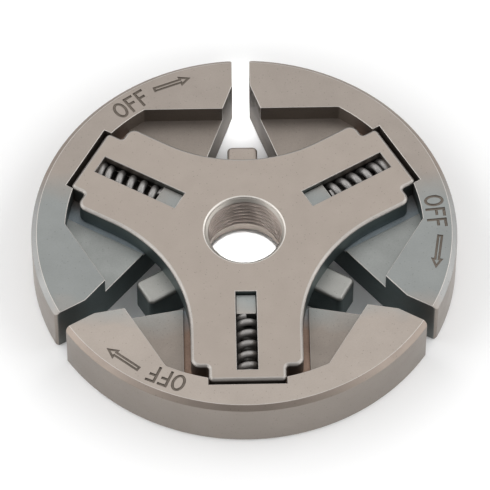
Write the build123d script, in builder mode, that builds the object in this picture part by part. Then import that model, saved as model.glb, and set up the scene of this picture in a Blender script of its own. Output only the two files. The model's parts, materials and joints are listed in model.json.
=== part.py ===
from build123d import *
import os
from math import cos, hypot, pi, radians, sin, sqrt, tan

# A chain saw's centrifugal clutch: a hub with three arms, three shoes that slide on them, three springs.
# It lies on the back of its hub, with the star plate up. The origin is where the crankshaft's axis meets
# the back of the hub. Sizes are in millimetres and angles in degrees.

# Overall
ARM_NAMES = ("right", "left", "front")  # anticlockwise, seen from above
FIRST_ARM_ANGLE = 30.0
OUTER_RADIUS = 38.0
HUB_HEIGHT = 10.4
SHOE_BACK = 0.3  # how far the hub's back stands proud of the shoes
SLIDE_CLEARANCE = 0.1  # on each side, where a shoe slides on the hub

# Hub: star plate
PLATE_THICKNESS = 4.0
ARM_WIDTH = 19.8
HEAD_WIDTH = 13.6
HEAD_REACH = 31.85
SHOULDER_SETBACK = 2.95  # from the end of the head back to the arm's shoulders
BETWEEN_ARMS_RADIUS = 27.0
SHOULDER_ROUND_SHARE = 0.55  # of the shoulder's length, from the head's side to the arm's
HEAD_ROUND = 0.8
NECK_ROUND = 0.5
PLATE_EDGE_CHAMFER = 0.4

# Hub: boss, thread and lugs
BOSS_RADIUS = 11.5
THREAD_RADIUS = 7.0
THREAD_COUNTERSINK = 0.25
LUG_REACH = 21.1
LUG_WIDTH = 5.4
LUG_CORNER_ROUND = 0.9
LUG_EDGE_ROUND = 0.7

# Springs, and the windows in the arms that hold them
WINDOW_WIDTH = 3.7
WINDOW_INNER_WALL = 1.7  # from the boss
WINDOW_OUTER_WALL = 2.2  # to the end of the head
LIP_THICKNESS = 1.5  # of the face over the slot
SPRING_DIAMETER = 5.0
SPRING_CLEARANCE = 0.15
WIRE_DIAMETER = 1.3
ACTIVE_TURNS = 4.2
CLOSED_TURNS = 1.0  # at each end
CLOSED_TURN_GAP = 0.08
WIRE_SIDES = 8
STEPS_PER_TURN = 16

# Shoes
SHOE_GAP = 3.2
END_FACE_LENGTH = 6.1
END_SPLAY = 19.5
END_ROUND = 0.7
BOSS_MARGIN = 1.0
RIM_CHAMFER_WIDTH = 0.9
RIM_CHAMFER_HEIGHT = 0.8
BACK_CHAMFER = 0.3
SHOULDER_MARGIN = 1.45  # from the arm's shoulders to the rim
POCKET_REACH = 26.7  # from the axis to the straight wall of the pocket, towards a gap
POCKET_ROUND = 0.8
CHANNEL_STEP = 0.5  # from the pocket's floor down to the channel's
CHANNEL_MARGIN = 1.2  # beside the arm
NOTCH_MARGIN = 0.85  # past the arm's head
ABUTMENT_LENGTH = 4.0
ABUTMENT_DROP = 0.9  # below the plate's face
ABUTMENT_REST_GAP = 0.2  # to the inner end of the window

# What follows from them
ARM_COUNT = len(ARM_NAMES)
HALF_SECTOR = 180 / ARM_COUNT
SHOULDER_REACH = HEAD_REACH - SHOULDER_SETBACK
SHOULDER_ROUND = SHOULDER_ROUND_SHARE * (ARM_WIDTH - HEAD_WIDTH) / 2
PLATE_BACK = HUB_HEIGHT - PLATE_THICKNESS
WINDOW_START = BOSS_RADIUS + WINDOW_INNER_WALL
WINDOW_END = HEAD_REACH - WINDOW_OUTER_WALL
SLOT_WIDTH = SPRING_DIAMETER + 2 * SPRING_CLEARANCE
ABUTMENT_START = WINDOW_START + ABUTMENT_REST_GAP
ABUTMENT_END = ABUTMENT_START + ABUTMENT_LENGTH
SPRING_LENGTH = WINDOW_END - ABUTMENT_END
SPRING_HEIGHT = HUB_HEIGHT - LIP_THICKNESS - sqrt((SLOT_WIDTH / 2) ** 2 - (WINDOW_WIDTH / 2) ** 2)
POCKET_RADIUS = hypot(SHOULDER_REACH, ARM_WIDTH / 2) + SHOULDER_MARGIN
CHANNEL_DEPTH = PLATE_THICKNESS + SLIDE_CLEARANCE
POCKET_DEPTH = CHANNEL_DEPTH - CHANNEL_STEP

FROM_INNER_END = (Align.MIN, Align.CENTER)


def distance_from_axis(vertex):
    return hypot(vertex.X, vertex.Y)


def corners_at(sketch, reach):
    """The sketch's corners that lie at one distance from the axis."""
    return sketch.vertices().filter_by(lambda corner: abs(distance_from_axis(corner) - reach) < 0.001)


def middle_from_axis(edge):
    return hypot((edge @ 0.5).X, (edge @ 0.5).Y)


def arm_plane(angle, height):
    """A level plane whose X runs out along an arm."""
    return Plane((0, 0, height), x_dir=(cos(radians(angle)), sin(radians(angle)), 0), z_dir=(0, 0, 1))


def across_arm_plane(angle, reach):
    """A plane that stands across an arm, with its origin on the spring's axis and its X up."""
    outward = Vector(cos(radians(angle)), sin(radians(angle)), 0)
    return Plane(outward * reach + Vector(0, 0, SPRING_HEIGHT), x_dir=(0, 0, 1), z_dir=outward)


def beside_gap(along, aside):
    """A point in an arm's own plane, measured along the next gap and from its middle towards the arm."""
    along_x = cos(radians(HALF_SECTOR))
    along_y = sin(radians(HALF_SECTOR))
    return along * along_x + aside * along_y, along * along_y - aside * along_x


def mirrored(point):
    return point[0], -point[1]


# Hub: pressed and sintered in one piece, with a left-hand thread for the crankshaft in its boss.
with BuildPart() as hub:
    # The boss, and a lug in each gap between the shoes
    with BuildSketch() as boss_outline:
        Circle(BOSS_RADIUS)
        with PolarLocations(0, ARM_COUNT, start_angle=FIRST_ARM_ANGLE + HALF_SECTOR):
            Rectangle(LUG_REACH, LUG_WIDTH, align=FROM_INNER_END)
        fillet(boss_outline.vertices().group_by(distance_from_axis, tol_digits=3)[-1], LUG_CORNER_ROUND)
    extrude(amount=PLATE_BACK)

    # The star plate, with its corners rounded and a chamfer round its face
    with BuildSketch(Plane.XY.offset(PLATE_BACK)) as star_outline:
        with PolarLocations(0, ARM_COUNT, start_angle=FIRST_ARM_ANGLE):
            Rectangle(SHOULDER_REACH, ARM_WIDTH, align=FROM_INNER_END)
            Rectangle(HEAD_REACH, HEAD_WIDTH, align=FROM_INNER_END)
        for corner_reach, corner_radius in (
            (hypot(HEAD_REACH, HEAD_WIDTH / 2), HEAD_ROUND),
            (hypot(SHOULDER_REACH, HEAD_WIDTH / 2), NECK_ROUND),
            (hypot(SHOULDER_REACH, ARM_WIDTH / 2), SHOULDER_ROUND),
            (ARM_WIDTH / (2 * sin(radians(HALF_SECTOR))), BETWEEN_ARMS_RADIUS),
        ):
            fillet(corners_at(star_outline, corner_reach), corner_radius)
    extrude(amount=PLATE_THICKNESS)
    chamfer(hub.faces().sort_by(Axis.Z)[-1].outer_wire().edges(), PLATE_EDGE_CHAMFER)

    # The upper edges of the lugs, rounded where they stand clear of the plate
    level_faces = hub.faces().filter_by(Plane.XY).group_by(Axis.Z)[1]
    lug_edges = ShapeList()
    for lug_top in level_faces.filter_by(lambda face: face.normal_at().Z > 0):
        lug_edges += lug_top.outer_wire().edges().sort_by(middle_from_axis)[1:]
    fillet(lug_edges, LUG_EDGE_ROUND)

    # A window in each arm: a narrow opening in the face, over a wider slot for the spring
    for opening_width, opening_height in (
        (WINDOW_WIDTH, PLATE_THICKNESS),
        (SLOT_WIDTH, PLATE_THICKNESS - LIP_THICKNESS),
    ):
        with BuildSketch(Plane.XY.offset(PLATE_BACK)):
            with PolarLocations(WINDOW_START, ARM_COUNT, start_angle=FIRST_ARM_ANGLE):
                Rectangle(WINDOW_END - WINDOW_START, opening_width, align=FROM_INNER_END)
        extrude(amount=opening_height, mode=Mode.SUBTRACT)

    # The bore for the thread, countersunk at both ends
    with Locations((0, 0, HUB_HEIGHT)):
        Hole(THREAD_RADIUS)
    chamfer(hub.edges(Select.LAST).filter_by(GeomType.CIRCLE), THREAD_COUNTERSINK)


# Shoes: pressed and sintered weights. The rim is ground to fit the drum, and the arm lies behind it.
def make_shoe(angle):
    half_gap = SHOE_GAP / 2
    end_outer = beside_gap(sqrt(OUTER_RADIUS**2 - half_gap**2), half_gap)
    end_inner = beside_gap(OUTER_RADIUS - END_FACE_LENGTH, half_gap)
    inner_point = (end_inner[0] - end_inner[1] / tan(radians(HALF_SECTOR + END_SPLAY)), 0)

    with BuildPart() as shoe:
        with BuildSketch(arm_plane(angle, SHOE_BACK)) as outline:
            with BuildLine():
                Polyline(end_outer, end_inner, inner_point, mirrored(end_inner), mirrored(end_outer))
                ThreePointArc(end_outer, (OUTER_RADIUS, 0), mirrored(end_outer))
            make_face()
            fillet(outline.vertices().group_by(distance_from_axis, tol_digits=3)[-1], END_ROUND)
            Circle(BOSS_RADIUS + BOSS_MARGIN, mode=Mode.SUBTRACT)
        extrude(amount=HUB_HEIGHT - SHOE_BACK)

        # The pocket behind the rim
        with BuildSketch(arm_plane(angle, HUB_HEIGHT)) as pocket:
            Circle(POCKET_RADIUS)
            side_corner = (0, POCKET_REACH / sin(radians(HALF_SECTOR)))
            outer_corner = (POCKET_REACH / cos(radians(HALF_SECTOR)), 0)
            Polygon(side_corner, mirrored(side_corner), outer_corner, align=None, mode=Mode.INTERSECT)
            fillet(pocket.vertices().group_by(distance_from_axis, tol_digits=3)[-1], POCKET_ROUND)
        extrude(amount=-POCKET_DEPTH, mode=Mode.SUBTRACT)

        # The channel that the arm lies in, and the notch that takes its head
        with BuildSketch(arm_plane(angle, HUB_HEIGHT)):
            Circle(POCKET_RADIUS)
            channel_width = ARM_WIDTH + 2 * CHANNEL_MARGIN
            Rectangle(POCKET_RADIUS, channel_width, align=FROM_INNER_END, mode=Mode.INTERSECT)
            notch_width = HEAD_WIDTH + 2 * SLIDE_CLEARANCE
            Rectangle(HEAD_REACH + NOTCH_MARGIN, notch_width, align=FROM_INNER_END)
        extrude(amount=-CHANNEL_DEPTH, mode=Mode.SUBTRACT)

        # The trough under the spring
        with BuildSketch(across_arm_plane(angle, ABUTMENT_END)):
            Circle(SLOT_WIDTH / 2)
        extrude(amount=SPRING_LENGTH + SPRING_CLEARANCE, mode=Mode.SUBTRACT)

        # The abutment that the spring pushes on: it slides in the slot, with a tongue in the window
        for abutment_width, abutment_height in (
            (SLOT_WIDTH - 2 * SLIDE_CLEARANCE, CHANNEL_DEPTH - LIP_THICKNESS - SLIDE_CLEARANCE),
            (WINDOW_WIDTH - 2 * SLIDE_CLEARANCE, CHANNEL_DEPTH - ABUTMENT_DROP),
        ):
            with BuildSketch(arm_plane(angle, HUB_HEIGHT - CHANNEL_DEPTH)):
                with Locations((ABUTMENT_START, 0)):
                    Rectangle(ABUTMENT_LENGTH, abutment_width, align=FROM_INNER_END)
            extrude(amount=abutment_height)

        # The turned chamfers round the face and the back
        with BuildSketch(Plane.XZ):
            Polygon(
                (OUTER_RADIUS - RIM_CHAMFER_WIDTH, HUB_HEIGHT),
                (OUTER_RADIUS + RIM_CHAMFER_WIDTH, HUB_HEIGHT),
                (OUTER_RADIUS + RIM_CHAMFER_WIDTH, HUB_HEIGHT - 2 * RIM_CHAMFER_HEIGHT),
                align=None,
            )
            Polygon(
                (OUTER_RADIUS - BACK_CHAMFER, SHOE_BACK),
                (OUTER_RADIUS + BACK_CHAMFER, SHOE_BACK),
                (OUTER_RADIUS + BACK_CHAMFER, SHOE_BACK + 2 * BACK_CHAMFER),
                align=None,
            )
        revolve(axis=Axis.Z, mode=Mode.SUBTRACT)
    return shoe


# Springs: right-hand coils of round wire, here in short straight steps with an eight-sided section.
# The end turns are closed, and ground flat where they bear on the abutment and on the window's wall.
def coil_advance(turn):
    """How far along its axis the wire has come after so many turns."""
    closed_pitch = WIRE_DIAMETER + CLOSED_TURN_GAP
    open_pitch = (SPRING_LENGTH - 2 * CLOSED_TURNS * closed_pitch) / ACTIVE_TURNS
    first_closed = min(turn, CLOSED_TURNS)
    opened = min(max(turn - CLOSED_TURNS, 0), ACTIVE_TURNS)
    last_closed = max(turn - CLOSED_TURNS - ACTIVE_TURNS, 0)
    return (first_closed + last_closed) * closed_pitch + opened * open_pitch


def make_spring(angle):
    seat = across_arm_plane(angle, ABUTMENT_END)
    coil_radius = (SPRING_DIAMETER - WIRE_DIAMETER) / 2
    total_turns = ACTIVE_TURNS + 2 * CLOSED_TURNS
    steps = round(total_turns * STEPS_PER_TURN)
    coil_points = []
    for step in range(steps + 1):
        turn = total_turns * step / steps
        up = coil_radius * cos(2 * pi * turn)
        aside = coil_radius * sin(2 * pi * turn)
        coil_points.append(seat.from_local_coords((up, aside, coil_advance(turn))))

    with BuildPart() as spring:
        with BuildLine() as coil:
            Polyline(*coil_points)
        with BuildSketch(Plane(coil.line @ 0, z_dir=coil.line % 0)):
            RegularPolygon(WIRE_DIAMETER / 2, WIRE_SIDES)
        sweep(transition=Transition.RIGHT)
        split(bisect_by=seat, keep=Keep.TOP)
        split(bisect_by=across_arm_plane(angle, WINDOW_END), keep=Keep.BOTTOM)
    return spring


os.makedirs("parts", exist_ok=True)
hub.part.label = "hub"
export_step(hub.part, "parts/hub.step")
for number, side in enumerate(ARM_NAMES):
    arm_angle = FIRST_ARM_ANGLE + number * 2 * HALF_SECTOR
    shoe = make_shoe(arm_angle)
    shoe.part.label = f"shoe_{side}"
    export_step(shoe.part, f"parts/shoe_{side}.step")
    spring = make_spring(arm_angle)
    spring.part.label = f"spring_{side}"
    export_step(spring.part, f"parts/spring_{side}.step")
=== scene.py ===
import json
from math import atan, ceil, cos, pi, radians, sin

import bmesh
import bpy
from mathutils import Matrix, Vector


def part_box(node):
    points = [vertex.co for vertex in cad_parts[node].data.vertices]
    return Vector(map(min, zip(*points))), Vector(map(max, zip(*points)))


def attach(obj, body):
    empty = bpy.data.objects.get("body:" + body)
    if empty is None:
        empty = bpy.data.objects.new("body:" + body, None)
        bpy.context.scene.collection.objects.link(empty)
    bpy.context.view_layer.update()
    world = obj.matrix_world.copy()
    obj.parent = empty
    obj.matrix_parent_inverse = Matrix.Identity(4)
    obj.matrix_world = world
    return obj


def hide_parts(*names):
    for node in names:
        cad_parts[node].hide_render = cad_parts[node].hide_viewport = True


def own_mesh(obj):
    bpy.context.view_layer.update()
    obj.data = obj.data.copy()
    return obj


# A chain saw's centrifugal clutch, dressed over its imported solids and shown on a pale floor.
# Everything is in metres, in the clutch's own frame: Z is the crankshaft's axis, and the star plate faces up.
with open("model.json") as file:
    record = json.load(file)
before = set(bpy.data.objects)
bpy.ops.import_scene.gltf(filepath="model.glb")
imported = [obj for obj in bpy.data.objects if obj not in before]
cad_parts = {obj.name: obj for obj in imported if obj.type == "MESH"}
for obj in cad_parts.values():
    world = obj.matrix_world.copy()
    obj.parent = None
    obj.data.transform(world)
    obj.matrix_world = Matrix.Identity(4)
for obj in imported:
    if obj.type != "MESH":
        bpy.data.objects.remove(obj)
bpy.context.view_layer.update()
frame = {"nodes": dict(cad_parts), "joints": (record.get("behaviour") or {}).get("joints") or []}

# Hub: the star plate, its boss and its three lugs are one piece, pressed from steel powder and sintered.
# It has been tumbled, so its faces are an even satin and its edges are broken and burnished brighter; that
# lighter edge colour is partly burnishing and partly a painted highlight.
MM = 0.001
WELD_DISTANCE = 0.002 * MM
FLAT_ANGLE = radians(0.5)
SHARP_ANGLE = radians(30)
SMOOTH_ANGLE = radians(50)
LEVEL_SLOPE = 0.9  # the least upright part of a level face's normal
UPWARD_SLOPE = 0.2  # and of a face that looks up at all
HUB_EDGE_BREAK = 0.15 * MM
FACE_EDGE_DEPTH = 0.5 * MM  # below the star face, deep enough to take in its pressed chamfer
COUNTERSINK_RADIUS = 7.25 * MM
HUB_COLOUR = (0.335, 0.292, 0.257)
# The walls' darker colour is a painted shade.
WALL_SHADE_COLOUR = (0.19, 0.165, 0.145)
# The hub edges' lighter colour is partly burnishing and partly a painted highlight.
HUB_EDGE_BURNISH_AND_HIGHLIGHT_COLOUR = (0.395, 0.37, 0.345)
# The bore edge's light colour is a painted highlight.
BORE_EDGE_HIGHLIGHT_COLOUR = (0.60, 0.57, 0.53)
WALL_TINT = (0.75, 1.05, 1.20)
LUG_TINT = (0.97, 1.10, 1.18)
NOISE_RANGE = (0.3, 0.7)  # where most values of a noise lie
CLOUD_SIZE = 7 * MM
CLOUD_RANGE = (0.25, 0.75)
GRAIN_SIZE = 0.28 * MM
GRAIN_HEIGHT = 0.012 * MM
GRAIN_STRENGTH = 0.5
PORE_SPACING = 0.8 * MM
PORE_RANGE = (0.05, 0.16)  # from a pore's floor to its lip, in spacings
PORE_TONE = 0.72
WEAR_SIZE = 3 * MM
WEAR_SMOOTHEST = -0.03
WEAR_ROUGHEST = 0.04
BAND_FRONT = (-20 * MM, -14 * MM)
BAND_BACK = (6 * MM, 13 * MM)
BAND_WAVER = 1.5 * MM
BAND_WAVER_SIZE = 6 * MM
RUBBED, EDGE, WALL, LUG_TOP, BORE_EDGE = range(5)  # the places of the hub's finishes in its list
hub_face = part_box("hub")[1].z


def solid_copy(node_name, piece_name):
    """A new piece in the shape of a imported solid, with its facets welded and its flat faces made whole."""
    mesh = frame["nodes"][node_name].data.copy()
    mesh.name = piece_name
    mesh.materials.clear()
    if "custom_normal" in mesh.attributes:
        mesh.attributes.remove(mesh.attributes["custom_normal"])
    shape = bmesh.new()
    shape.from_mesh(mesh)
    bmesh.ops.remove_doubles(shape, verts=shape.verts, dist=WELD_DISTANCE)
    bmesh.ops.dissolve_limit(shape, angle_limit=FLAT_ANGLE, verts=shape.verts, edges=shape.edges)
    shape.to_mesh(mesh)
    shape.free()
    piece = bpy.data.objects.new(piece_name, mesh)
    bpy.context.scene.collection.objects.link(piece)
    return piece


def break_edges(piece, width, above):
    """Rounds off the sharp edges that reach above a height, and gives them the piece's edge finish, a lighter
    colour that is partly burnishing and partly a painted highlight.
    """
    shape = bmesh.new()
    shape.from_mesh(piece.data)
    convex = [edge for edge in shape.edges if edge.is_convex and edge.calc_face_angle() > SHARP_ANGLE]
    sharp = [edge for edge in convex if max(corner.co.z for corner in edge.verts) > above]
    bmesh.ops.bevel(
        shape, geom=sharp, offset=width, segments=2, profile=0.5,
        affect="EDGES", clamp_overlap=False, material=EDGE,
    )
    bmesh.ops.dissolve_degenerate(shape, dist=WELD_DISTANCE, edges=shape.edges)
    shape.to_mesh(piece.data)
    shape.free()


def is_level(face):
    return abs(face.normal.z) > LEVEL_SLOPE


def smooth(piece):
    """Shades the roundings smoothly and keeps the flat faces flat."""
    piece.data.shade_smooth()
    piece.data.set_sharp_from_angle(angle=SMOOTH_ANGLE)
    weighting = piece.modifiers.new("flat faces", "WEIGHTED_NORMAL")
    weighting.keep_sharp = True


def add_node(tree, kind, inputs, **settings):
    """A shader node, with each input set to a value or linked to another node's output."""
    node = tree.nodes.new("ShaderNode" + kind)
    for setting, value in settings.items():
        setattr(node, setting, value)
    for socket, value in inputs.items():
        if isinstance(value, bpy.types.NodeSocket):
            tree.links.new(value, node.inputs[socket])
        else:
            node.inputs[socket].default_value = value
    return node


def noise(tree, where, feature_size, detail=2.0):
    """A cloud from 0 to 1, with features of about that size."""
    inputs = {"Vector": where, "Scale": 1 / feature_size, "Detail": detail}
    return add_node(tree, "TexNoise", inputs).outputs["Fac"]


def spread(tree, value, start, end, low, high):
    """Where value runs from start to end, this runs from low to high."""
    inputs = {"Value": value, "From Min": start, "From Max": end, "To Min": low, "To Max": high}
    return add_node(tree, "MapRange", inputs).outputs["Result"]


def multiply_colours(tree, share, first, second):
    """The first colour, multiplied by that share of the second."""
    inputs = {0: share, 6: first, 7: second}  # the node's colour sockets are known by their places
    return add_node(tree, "Mix", inputs, data_type="RGBA", blend_type="MULTIPLY").outputs[2]


def combine(tree, operation, first, second):
    return add_node(tree, "Math", {0: first, 1: second}, operation=operation).outputs[0]


def temper_band(tree, where, colour, tint):
    """Tints a colour in a band across the middle of the clutch, with soft and uneven edges."""
    waver = spread(tree, noise(tree, where, BAND_WAVER_SIZE), *NOISE_RANGE, -BAND_WAVER, BAND_WAVER)
    along = combine(tree, "ADD", add_node(tree, "SeparateXYZ", {"Vector": where}).outputs["Y"], waver)
    front_edge = spread(tree, along, *BAND_FRONT, 0.0, 1.0)
    back_edge = spread(tree, along, *BAND_BACK, 1.0, 0.0)
    band = combine(tree, "MULTIPLY", front_edge, back_edge)
    return multiply_colours(tree, band, colour, (*tint, 1.0))


def worn_steel(name, colour, roughness, tone, tint=None):
    """Steel that is cloudy in tone, with a fine grain, scattered pores and perhaps a tempered band."""
    material = bpy.data.materials.new(name)
    material.use_nodes = True
    tree = material.node_tree
    surface = tree.nodes["Principled BSDF"]
    surface.inputs["Metallic"].default_value = 1.0
    where = add_node(tree, "TexCoord", {}).outputs["Object"]

    clouds = noise(tree, where, CLOUD_SIZE, detail=4.0)
    grain = noise(tree, where, GRAIN_SIZE)
    pore_cells = add_node(tree, "TexVoronoi", {"Vector": where, "Scale": 1 / PORE_SPACING})
    pores = spread(tree, pore_cells.outputs["Distance"], *PORE_RANGE, 1.0, 0.0)

    cloud_tone = spread(tree, clouds, *CLOUD_RANGE, 1 - tone, 1 + tone)
    grain_tone = spread(tree, grain, *NOISE_RANGE, 1 - tone / 2, 1 + tone / 2)
    pore_tone = spread(tree, pores, 0.0, 1.0, 1.0, PORE_TONE)
    whole_tone = combine(tree, "MULTIPLY", combine(tree, "MULTIPLY", cloud_tone, grain_tone), pore_tone)
    toned = multiply_colours(tree, 1.0, (*colour, 1.0), whole_tone)
    if tint:
        toned = temper_band(tree, where, toned, tint)
    tree.links.new(toned, surface.inputs["Base Color"])

    wear = noise(tree, where, WEAR_SIZE, detail=3.0)
    worn = spread(tree, wear, *NOISE_RANGE, roughness + WEAR_SMOOTHEST, roughness + WEAR_ROUGHEST)
    tree.links.new(worn, surface.inputs["Roughness"])
    height = combine(tree, "SUBTRACT", grain, pores)
    bump = add_node(tree, "Bump", {"Strength": GRAIN_STRENGTH, "Distance": GRAIN_HEIGHT, "Height": height})
    tree.links.new(bump.outputs["Normal"], surface.inputs["Normal"])
    return material


hub_steel = worn_steel("hub rubbed faces", HUB_COLOUR, roughness=0.46, tone=0.025)
hub_edge_steel = worn_steel("hub edges burnished and painted highlight", HUB_EDGE_BURNISH_AND_HIGHLIGHT_COLOUR, roughness=0.52, tone=0.05)
hub_wall_steel = worn_steel("hub walls painted shade", WALL_SHADE_COLOUR, roughness=0.52, tone=0.08, tint=WALL_TINT)
hub_lug_steel = worn_steel("hub lug tops", HUB_COLOUR, roughness=0.50, tone=0.05, tint=LUG_TINT)
bore_edge_steel = worn_steel("hub bore edge painted highlight", BORE_EDGE_HIGHLIGHT_COLOUR, roughness=0.36, tone=0.05)

hub = solid_copy("hub", "star_hub")
for finish in (hub_steel, hub_edge_steel, hub_wall_steel, hub_lug_steel, bore_edge_steel):
    hub.data.materials.append(finish)
break_edges(hub, HUB_EDGE_BREAK, above=0.0)
# Walls and edge roundings below the star face take the darker wall colour, a painted shade.
for face in hub.data.polygons:
    near_face = face.center.z > hub_face - FACE_EDGE_DEPTH
    # The bore's top edge takes the lighter bore edge colour, a painted highlight.
    if face.center.xy.length < COUNTERSINK_RADIUS + HUB_EDGE_BREAK:
        if near_face and face.material_index == EDGE:
            face.material_index = BORE_EDGE
    elif face.material_index == EDGE and not near_face:
        face.material_index = WALL
    elif face.material_index == RUBBED and face.normal.z > UPWARD_SLOPE and not near_face:
        face.material_index = LUG_TOP
    elif face.material_index == RUBBED and not is_level(face):
        face.material_index = EDGE if near_face else WALL
smooth(hub)
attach(hub, "hub")
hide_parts("hub")

# Thread: the left-hand thread, one millimetre in pitch, that is cut in the hub's bore for the crankshaft.
# It is dark with oil, runs out in a turned countersink at the face, and stops short of the back.
BORE_RADIUS = 7.0 * MM
CREST_RADIUS = 6.46 * MM
THREAD_PITCH = 1.0 * MM
THREAD_BACK = 2.4 * MM
THREAD_END_CHAMFER = 0.5 * MM
CREST_SHARE = 0.25
ROOT_SHARE = 0.125
SLEEVE_BURIED = 0.03 * MM
THREAD_STEPS_ROUND = 120
THREAD_STEPS_PER_PITCH = 12
THREAD_COLOUR = (0.33, 0.282, 0.252)
COUNTERSINK_COLOUR = (0.36, 0.335, 0.305)
COUNTERSINK = 1  # the place of its finish in the thread's list


def thread_depth(turn):
    """The groove's depth, from 0 at the crest to 1 at the root, at a place along one pitch from 0 to 1."""
    flank = (1 - CREST_SHARE - ROOT_SHARE) / 2
    from_root = abs(turn % 1 - 0.5) - ROOT_SHARE / 2
    return 1 - min(max(from_root / flank, 0), 1)


def thread_radius(angle, height):
    groove = thread_depth(height / THREAD_PITCH + angle / (2 * pi))
    thread = CREST_RADIUS + groove * (BORE_RADIUS - CREST_RADIUS)
    countersink = COUNTERSINK_RADIUS - (hub_face - height)
    run_out = BORE_RADIUS - (height - THREAD_BACK) * (BORE_RADIUS - CREST_RADIUS) / THREAD_END_CHAMFER
    return min(max(thread, countersink, run_out), BORE_RADIUS + SLEEVE_BURIED)


def thread_sleeve():
    """A closed sleeve whose inside is the thread and whose outside is buried in the hub."""
    thread_top = hub_face - (COUNTERSINK_RADIUS - BORE_RADIUS)
    rows = ceil((thread_top - THREAD_BACK) / THREAD_PITCH * THREAD_STEPS_PER_PITCH)
    angles = [2 * pi * step / THREAD_STEPS_ROUND for step in range(THREAD_STEPS_ROUND)]
    shape = bmesh.new()
    rings = []
    for row in range(rows + 1):
        height = THREAD_BACK + (thread_top - THREAD_BACK) * row / rows
        ring = []
        for angle in angles:
            radius = thread_radius(angle, height)
            ring.append(shape.verts.new((radius * cos(angle), radius * sin(angle), height)))
        rings.append(ring)
    for height in (thread_top, THREAD_BACK):
        radius = BORE_RADIUS + 2 * SLEEVE_BURIED
        rings.append([shape.verts.new((radius * cos(a), radius * sin(a), height)) for a in angles])
    for ring, next_ring in zip(rings, rings[1:] + rings[:1]):
        for step in range(THREAD_STEPS_ROUND):
            after = (step + 1) % THREAD_STEPS_ROUND
            shape.faces.new((ring[step], next_ring[step], next_ring[after], ring[after]))
    bmesh.ops.recalc_face_normals(shape, faces=shape.faces)
    mesh = bpy.data.meshes.new("crank_thread")
    shape.to_mesh(mesh)
    shape.free()
    piece = bpy.data.objects.new("crank_thread", mesh)
    bpy.context.scene.collection.objects.link(piece)
    return piece


thread_steel = worn_steel("thread oiled steel", THREAD_COLOUR, roughness=0.55, tone=0.12)
countersink_steel = worn_steel("thread turned countersink", COUNTERSINK_COLOUR, roughness=0.50, tone=0.05)

thread = thread_sleeve()
thread.data.materials.append(thread_steel)
thread.data.materials.append(countersink_steel)
for face in thread.data.polygons:
    if face.center.z > hub_face - (COUNTERSINK_RADIUS - CREST_RADIUS):
        face.material_index = COUNTERSINK
thread.data.shade_smooth()
thread.data.set_sharp_from_angle(angle=SMOOTH_ANGLE)
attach(thread, "hub")

# Shoes: three sintered weights that slide on the arms. Each rim is ground to one circle, with a turned
# chamfer, and has a stamped arrow and the word OFF that show which way the clutch unscrews.
SHOE_EDGE_BREAK = 0.10 * MM
# The shoe edges' lighter colour is partly burnishing and partly a painted highlight.
SHOE_EDGE_BURNISH_AND_HIGHLIGHT_COLOUR = (0.50, 0.47, 0.44)
SHOE_COLOUR = (0.315, 0.277, 0.246)
SHOE_TONES = {"shoe_right": 0.97, "shoe_left": 0.97, "shoe_front": 1.16}
RIM_COLOUR = (0.29, 0.257, 0.229)
CHAMFER_COLOUR = (0.29, 0.245, 0.212)
# The sunk pocket floors' darker colour is a painted shade.
POCKET_FLOOR_SHADE_COLOUR = (0.255, 0.223, 0.196)
# The deep channel's darker, browner colour is a painted shade with a warm painted reflection.
CHANNEL_SHADE_REFLECTION_COLOUR = (0.29, 0.205, 0.16)
MARK_COLOUR = (0.18, 0.155, 0.132)
FACE_TINT = (0.805, 0.955, 1.05)
CHAMFER_TINT = (1.03, 1.22, 1.38)
FLOOR_TINT = (1.10, 1.30, 1.43)
CHANNEL_BAND_TINT = (1.0, 1.6, 2.2)
LINE_STRETCH = 900.0  # the noise's steps per metre of height, against one per radian round the rim
LINE_SCALE = 9.0
LINE_HEIGHT = 0.01 * MM
LINE_STRENGTH = 0.25
RUBBED_DEPTH = 1.2 * MM
CHANNEL_DEPTH = 3.9 * MM
RIM_DEPTH = 1.2 * MM
OUTWARD_SLOPE = 0.3  # the least outward part of a rim face's normal
CHAMFER_SLOPE = 0.3  # the least upward part of a chamfer face's normal
BACK_EDGE_HEIGHT = 0.5 * MM
STROKE_WIDTH = 0.54 * MM
STROKE_SIDES = 10
WORD_ANGLE = radians(-24.6)
WORD_RADIUS = 34.4 * MM
LETTER_HEIGHT = 3.0 * MM
LETTER_WIDTH = 1.9 * MM
LETTER_PITCH = 2.4 * MM
FIRST_F_PLACE = 0.05 * LETTER_PITCH
BAR_INSET = 0.3 * STROKE_WIDTH
TOP_BAR_LENGTH = 0.85 * LETTER_WIDTH
MIDDLE_BAR_LENGTH = 0.70 * LETTER_WIDTH
MIDDLE_BAR_HEIGHT = 0.1 * LETTER_HEIGHT / 2
ROUND_STEPS = 32
ARROW_ANGLE = radians(-38.7)
ARROW_RADIUS = 34.75 * MM
ARROW_LENGTH = 6.6 * MM
ARROW_SHAFT_WIDTH = 0.64 * MM
ARROW_HEAD_WIDTH = 1.55 * MM
ARROW_HEAD_LENGTH = 1.5 * MM
ARROW_STROKE_WIDTH = 0.46 * MM
POCKET_FLOOR, CHANNEL, RIM, CHAMFER = range(3, 7)  # in the shoe's list, after faces, edges and walls


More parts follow.
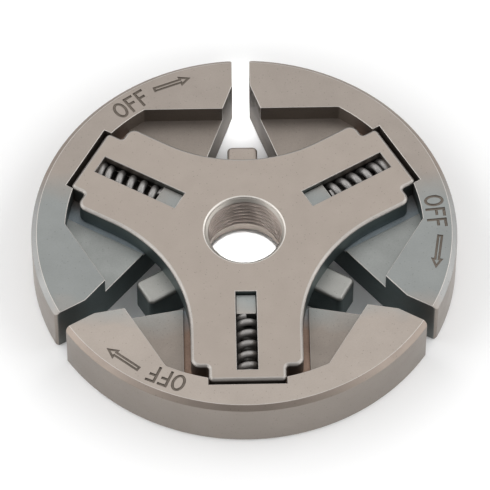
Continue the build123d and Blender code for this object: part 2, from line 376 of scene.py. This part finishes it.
def add_tube(shape, path, references, radius, sides, closed=False):
    """Adds a tube along a path to a mesh. Each reference is a direction across the path at that point."""
    rings = []
    last = len(path) - 1
    for number, (point, reference) in enumerate(zip(path, references)):
        before = path[number - 1] if number > 0 or closed else 2 * point - path[1]
        after = path[(number + 1) % len(path)] if number < last or closed else 2 * point - path[last - 1]
        leaving = (after - point).normalized()
        forward = ((point - before).normalized() + leaving).normalized()
        across = forward.cross(reference).normalized()
        upward = across.cross(forward)
        mitre = 1 / forward.dot(leaving)
        ring = []
        for side in range(sides):
            angle = 2 * pi * side / sides
            ring.append(shape.verts.new(point + radius * (cos(angle) * upward + mitre * sin(angle) * across)))
        rings.append(ring)
    following = rings[1:] + rings[:1] if closed else rings[1:]
    for ring, next_ring in zip(rings, following):
        for side in range(sides):
            beside = (side + 1) % sides
            shape.faces.new((ring[side], ring[beside], next_ring[beside], next_ring[side]))
    if not closed:
        shape.faces.new(list(reversed(rings[0])))
        shape.faces.new(rings[-1])


def word_strokes():
    """The strokes of the word OFF, as (points, closed). It reads along X, and its tops are to +Y."""
    half_height = LETTER_HEIGHT / 2
    half_width = LETTER_WIDTH / 2
    turns = [2 * pi * step / ROUND_STEPS for step in range(ROUND_STEPS)]
    strokes = [([(half_width * cos(t) - LETTER_PITCH, half_height * sin(t)) for t in turns], True)]
    bars = ((half_height, TOP_BAR_LENGTH), (MIDDLE_BAR_HEIGHT, MIDDLE_BAR_LENGTH))
    for middle in (FIRST_F_PLACE, LETTER_PITCH):
        stem = middle - half_width + STROKE_WIDTH / 2
        stem_end = half_height + STROKE_WIDTH / 2
        strokes.append(([(stem, -stem_end), (stem, stem_end)], False))
        for bar_height, bar_length in bars:
            strokes.append(([(stem + BAR_INSET, bar_height), (stem + bar_length, bar_height)], False))
    return strokes


def arrow_strokes():
    """The outline of the arrow, pointing along +X, in the same form."""
    tail = -ARROW_LENGTH / 2
    neck = ARROW_LENGTH / 2 - ARROW_HEAD_LENGTH
    upper_half = [
        (tail, ARROW_SHAFT_WIDTH / 2),
        (neck, ARROW_SHAFT_WIDTH / 2),
        (neck, ARROW_HEAD_WIDTH / 2),
        (ARROW_LENGTH / 2, 0),
    ]
    lower_half = [(x, -y) for x, y in reversed(upper_half[:-1])]
    return [(upper_half + lower_half, True)]


def stamp(strokes, outward, turn, radius, width, height):
    """A cutter for strokes set round the rim, half sunk in the shoe's face."""
    radial = Matrix.Rotation(turn, 3, "Z") @ outward
    along = Vector((radial.y, -radial.x, 0))
    middle = radial * radius + Vector((0, 0, height))
    shape = bmesh.new()
    for points, closed in strokes:
        path = [middle + along * x + radial * y for x, y in points]
        add_tube(shape, path, [Vector((0, 0, 1))] * len(path), width / 2, STROKE_SIDES, closed)
    bmesh.ops.recalc_face_normals(shape, faces=shape.faces)
    mesh = bpy.data.meshes.new("stamp")
    shape.to_mesh(mesh)
    shape.free()
    cutter = bpy.data.objects.new("stamp", mesh)
    bpy.context.scene.collection.objects.link(cutter)
    return cutter


def cut_away(piece, cutter):
    """Sinks a cutter's shape into a piece. The new faces take the cutter's finish."""
    cut = piece.modifiers.new("cut", "BOOLEAN")
    cut.operation = "DIFFERENCE"
    cut.solver = "EXACT"
    cut.use_self = True
    cut.material_mode = "TRANSFER"
    cut.object = cutter
    shaped = piece.evaluated_get(bpy.context.evaluated_depsgraph_get())
    mesh = bpy.data.meshes.new_from_object(shaped)
    piece.modifiers.clear()
    piece.data = mesh
    bpy.data.objects.remove(cutter)


def ground_steel(name, colour, roughness, tint=None):
    """Steel with fine lines round the axis, from grinding or turning."""
    material = worn_steel(name, colour, roughness, tone=0.04, tint=tint)
    tree = material.node_tree
    surface = tree.nodes["Principled BSDF"]
    where = add_node(tree, "TexCoord", {}).outputs["Object"]
    part = add_node(tree, "SeparateXYZ", {"Vector": where})
    angle = combine(tree, "ARCTAN2", part.outputs["Y"], part.outputs["X"])
    across = combine(tree, "MULTIPLY", part.outputs["Z"], LINE_STRETCH)
    place = add_node(tree, "CombineXYZ", {"X": angle, "Y": across}).outputs["Vector"]
    lines = add_node(tree, "TexNoise", {"Vector": place, "Scale": LINE_SCALE, "Detail": 3.0}).outputs["Fac"]
    bump = add_node(tree, "Bump", {"Strength": LINE_STRENGTH, "Distance": LINE_HEIGHT, "Height": lines})
    tree.links.new(bump.outputs["Normal"], surface.inputs["Normal"])
    return material


shared_finishes = (
    worn_steel("shoe edges burnished and painted highlight", SHOE_EDGE_BURNISH_AND_HIGHLIGHT_COLOUR, roughness=0.36, tone=0.05),
    worn_steel("shoe walls painted shade", WALL_SHADE_COLOUR, roughness=0.54, tone=0.08, tint=WALL_TINT),
    worn_steel("shoe floors painted shade", POCKET_FLOOR_SHADE_COLOUR, roughness=0.54, tone=0.08, tint=FLOOR_TINT),
    worn_steel("shoe channel painted shade and reflection", CHANNEL_SHADE_REFLECTION_COLOUR, roughness=0.60, tone=0.15, tint=CHANNEL_BAND_TINT),
    ground_steel("shoe ground rim", RIM_COLOUR, roughness=0.36),
    ground_steel("shoe turned chamfer", CHAMFER_COLOUR, roughness=0.52, tint=CHAMFER_TINT),
)
mark_steel = worn_steel("shoe stamped marks", MARK_COLOUR, roughness=0.62, tone=0.15)

rim_radius = -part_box("shoe_front")[0].y
for joint in frame["joints"]:
    shoe_name = joint["child"]
    outward = Vector(joint["axis"])
    shoe = solid_copy(shoe_name, "sprung_" + shoe_name)
    face_steel = worn_steel(
        shoe_name + " rubbed faces", Vector(SHOE_COLOUR) * SHOE_TONES[shoe_name],
        roughness=0.48, tone=0.05, tint=FACE_TINT,
    )
    for finish in (face_steel, *shared_finishes, mark_steel):
        shoe.data.materials.append(finish)
    shoe_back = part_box(shoe_name)[0].z
    shoe_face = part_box(shoe_name)[1].z
    break_edges(shoe, SHOE_EDGE_BREAK, above=shoe_back + BACK_EDGE_HEIGHT)
    for face in shoe.data.polygons:
        middle = face.center.xy
        sunk = min(shoe_face - face.center.z, face.center.z - shoe_back)
        looks_out = face.normal.xy.dot(middle) > OUTWARD_SLOPE * middle.length
        if looks_out and middle.length > rim_radius - RIM_DEPTH:
            face.material_index = CHAMFER if face.normal.z > CHAMFER_SLOPE else RIM
        # Walls take the darker wall colour, a painted shade.
        elif face.material_index == RUBBED and not is_level(face):
            face.material_index = WALL
        # Sunk pocket floors and the deep channel take darker colours, painted shade; the channel's colour is
        # also a warm painted reflection.
        elif face.material_index == RUBBED and sunk > RUBBED_DEPTH:
            face.material_index = CHANNEL if sunk > CHANNEL_DEPTH else POCKET_FLOOR
    for cutter in (
        stamp(word_strokes(), outward, WORD_ANGLE, WORD_RADIUS, STROKE_WIDTH, shoe_face),
        stamp(arrow_strokes(), outward, ARROW_ANGLE, ARROW_RADIUS, ARROW_STROKE_WIDTH, shoe_face),
    ):
        cutter.data.materials.append(mark_steel)
        cut_away(shoe, cutter)
    smooth(shoe)
    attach(shoe, shoe_name)
    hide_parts(shoe_name)

# Springs: three right-hand coils of round drawn wire, with their ends closed and ground flat. Each lies in
# its arm's window, pushed by the shoe's abutment against the window's outer end.
WIRE_DIAMETER = 1.3 * MM
SPRING_DIAMETER = 5.0 * MM
ACTIVE_TURNS = 4.2
CLOSED_TURNS = 1.0  # at each end
CLOSED_PITCH = 1.38 * MM
WIRE_SIDES = 18
STEPS_PER_TURN = 40
SPRING_COLOUR = (0.33, 0.318, 0.308)


def coil_advance(turn, length):
    """How far along its axis the wire has come after so many turns."""
    open_pitch = (length - 2 * CLOSED_TURNS * CLOSED_PITCH) / ACTIVE_TURNS
    opened = min(max(turn - CLOSED_TURNS, 0), ACTIVE_TURNS)
    return (turn - opened) * CLOSED_PITCH + opened * open_pitch


def coil_spring(name, outward, seat, length):
    """A coil whose axis runs out along the arm from its seat. It starts at the top of the coil."""
    up = Vector((0, 0, 1))
    aside = outward.cross(up)
    radius = (SPRING_DIAMETER - WIRE_DIAMETER) / 2
    total_turns = ACTIVE_TURNS + 2 * CLOSED_TURNS
    steps = ceil(total_turns * STEPS_PER_TURN)
    path = []
    spokes = []
    for step in range(steps + 1):
        turn = total_turns * step / steps
        spoke = up * cos(2 * pi * turn) + aside * sin(2 * pi * turn)
        spokes.append(spoke)
        path.append(seat + spoke * radius + outward * coil_advance(turn, length))
    shape = bmesh.new()
    add_tube(shape, path, spokes, WIRE_DIAMETER / 2, WIRE_SIDES)
    for end, beyond in ((seat, -outward), (seat + outward * length, outward)):
        everything = shape.verts[:] + shape.edges[:] + shape.faces[:]
        cut = bmesh.ops.bisect_plane(shape, geom=everything, plane_co=end, plane_no=beyond, clear_outer=True)
        edges = [item for item in cut["geom_cut"] if isinstance(item, bmesh.types.BMEdge)]
        bmesh.ops.contextual_create(shape, geom=edges)
    bmesh.ops.recalc_face_normals(shape, faces=shape.faces)
    mesh = bpy.data.meshes.new(name)
    shape.to_mesh(mesh)
    shape.free()
    piece = bpy.data.objects.new(name, mesh)
    bpy.context.scene.collection.objects.link(piece)
    return piece


spring_steel = worn_steel("spring drawn wire", SPRING_COLOUR, roughness=0.55, tone=0.08)
for joint in frame["joints"]:
    outward = Vector(joint["axis"])
    deforming = joint["deforming_nodes"][0]
    far_end = Vector(deforming["fixed_end_m"])
    node_name = deforming["node"]
    low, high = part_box(node_name)
    middle = (low + high) / 2
    length = 2 * (far_end - middle).dot(outward)
    seat = far_end - outward * length
    spring = coil_spring("coil_" + node_name, outward, seat, length)
    spring.data.materials.append(spring_steel)
    spring.data.shade_smooth()
    spring.data.set_sharp_from_angle(angle=SMOOTH_ANGLE)
    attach(spring, "hub")
    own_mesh(spring)
    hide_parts(node_name)

# Floor: a plain pale studio table with a matt top, which the clutch lies on. It is no part of the clutch,
# and it is large enough to fill every view.
FLOOR_SIZE = 6.0
FLOOR_COLOUR = (0.90, 0.90, 0.90)
FLOOR_ROUGHNESS = 0.9
floor_shape = bmesh.new()
bmesh.ops.create_grid(floor_shape, x_segments=4, y_segments=4, size=FLOOR_SIZE / 2)
floor_mesh = bpy.data.meshes.new("floor")
floor_shape.to_mesh(floor_mesh)
floor_shape.free()
floor = bpy.data.objects.new("floor", floor_mesh)
bpy.context.scene.collection.objects.link(floor)
floor_paint = bpy.data.materials.new("floor pale matt")
floor_paint.use_nodes = True
floor_surface = floor_paint.node_tree.nodes["Principled BSDF"]
floor_surface.inputs["Base Color"].default_value = (*FLOOR_COLOUR, 1.0)
floor_surface.inputs["Roughness"].default_value = FLOOR_ROUGHNESS
floor_mesh.materials.append(floor_paint)

# Light: a dim room with soft boxes at both sides for everything, others behind and above for the clutch
# alone, and two low ones for the table alone, so that the side gaps stay dark. Two narrow lamps shine
# straight down the bore and the back gap, so that the table shows white through them.
ROOM_LIGHT = 0.25
SOFT_BOX_DISTANCE = 0.75
SOFT_BOXES = (  # name, azimuth and elevation in degrees, width, height, brightness, what it lights
    ("back box", 90, 52, 1.1, 0.8, 1.15, "clutch"),
    ("top box", -90, 76, 1.0, 0.2, 1.6, "clutch"),
    ("left box", 182, 15, 1.2, 0.36, 2.2, "both"),
    ("right box", -2, 15, 1.2, 0.36, 2.2, "both"),
    ("high left box", 180, 45, 0.9, 0.4, 1.8, "both"),
    ("high right box", 0, 45, 0.9, 0.4, 1.8, "both"),
    ("front table box", -90, 35, 1.6, 0.4, 2.0, "table"),
    ("back table box", 90, 35, 1.6, 0.4, 1.2, "table"),
)
NARROW_LAMP_HEIGHT = 0.1
BORE_LAMP_REACH = 7.0 * MM
BORE_LAMP_BLEND = 0.2
BORE_LAMP_RADIUS = 0.5 * MM
BORE_LAMP_POWER = 0.5
GAP_LAMP_SIZE = (3.0 * MM, 14.0 * MM)
GAP_LAMP_PLACE = 32.8 * MM
GAP_LAMP_SPREAD = radians(10)
GAP_LAMP_POWER = 0.0006
world = bpy.data.worlds.new("dim room")
bpy.context.scene.world = world
world.use_nodes = True
world.node_tree.nodes["Background"].inputs["Color"].default_value = (1.0, 1.0, 1.0, 1.0)
world.node_tree.nodes["Background"].inputs["Strength"].default_value = ROOM_LIGHT
table_only = bpy.data.collections.new("table only")
table_only.objects.link(floor)
clutch_only = bpy.data.collections.new("clutch only")
clutch_only.objects.link(floor)
clutch_only.collection_objects[0].light_linking.link_state = "EXCLUDE"
lit_things = {"both": None, "table": table_only, "clutch": clutch_only}
for name, azimuth, elevation, width, height, brightness, lit in SOFT_BOXES:
    lamp = bpy.data.lights.new(name, "AREA")
    lamp.shape = "RECTANGLE"
    lamp.size = width
    lamp.size_y = height
    lamp.energy = brightness * pi * width * height
    direction = Vector((
        cos(radians(azimuth)) * cos(radians(elevation)),
        sin(radians(azimuth)) * cos(radians(elevation)),
        sin(radians(elevation)),
    ))
    holder = bpy.data.objects.new(name, lamp)
    holder.location = direction * SOFT_BOX_DISTANCE
    holder.rotation_euler = direction.to_track_quat("Z", "Y").to_euler()
    holder.light_linking.receiver_collection = lit_things[lit]
    bpy.context.scene.collection.objects.link(holder)
bore_lamp = bpy.data.lights.new("bore lamp", "SPOT")
bore_lamp.spot_size = 2 * atan(BORE_LAMP_REACH / NARROW_LAMP_HEIGHT)
bore_lamp.spot_blend = BORE_LAMP_BLEND
bore_lamp.shadow_soft_size = BORE_LAMP_RADIUS
bore_lamp.energy = BORE_LAMP_POWER
bore_holder = bpy.data.objects.new("bore lamp", bore_lamp)
bore_holder.location = (0, 0, NARROW_LAMP_HEIGHT)
bpy.context.scene.collection.objects.link(bore_holder)
gap_lamp = bpy.data.lights.new("gap lamp", "AREA")
gap_lamp.shape = "RECTANGLE"
gap_lamp.size, gap_lamp.size_y = GAP_LAMP_SIZE
gap_lamp.spread = GAP_LAMP_SPREAD
gap_lamp.energy = GAP_LAMP_POWER
gap_holder = bpy.data.objects.new("gap lamp", gap_lamp)
gap_holder.location = (0, GAP_LAMP_PLACE, NARROW_LAMP_HEIGHT)
gap_holder.light_linking.receiver_collection = table_only
bpy.context.scene.collection.objects.link(gap_holder)

# Camera: a long lens, high in front of the clutch, on the photograph's line of sight. It aims a little
# below the middle of the star face.
CAMERA_ELEVATION = radians(55.61)
CAMERA_TURN = radians(-1.124)
CAMERA_DISTANCE = 0.900
LENS = 371.0
SENSOR = 36.0
AIM_RIGHT = 0.12 * MM
AIM_UP = -2.75 * MM
turn = Matrix.Rotation(CAMERA_TURN, 3, "Z")
right = turn @ Vector((1, 0, 0))
up = turn @ Vector((0, sin(CAMERA_ELEVATION), cos(CAMERA_ELEVATION)))
back = right.cross(up)
aim = Vector((0, 0, hub_face)) + right * AIM_RIGHT + up * AIM_UP
facing = Matrix((right, up, back)).transposed().to_4x4()
camera_data = bpy.data.cameras.new("camera")
camera_data.lens = LENS
camera_data.sensor_width = SENSOR
camera = bpy.data.objects.new("camera", camera_data)
camera.matrix_world = Matrix.Translation(aim + back * CAMERA_DISTANCE) @ facing
bpy.context.scene.collection.objects.link(camera)
bpy.context.scene.camera = camera
bpy.context.scene.view_settings.view_transform = "Standard"
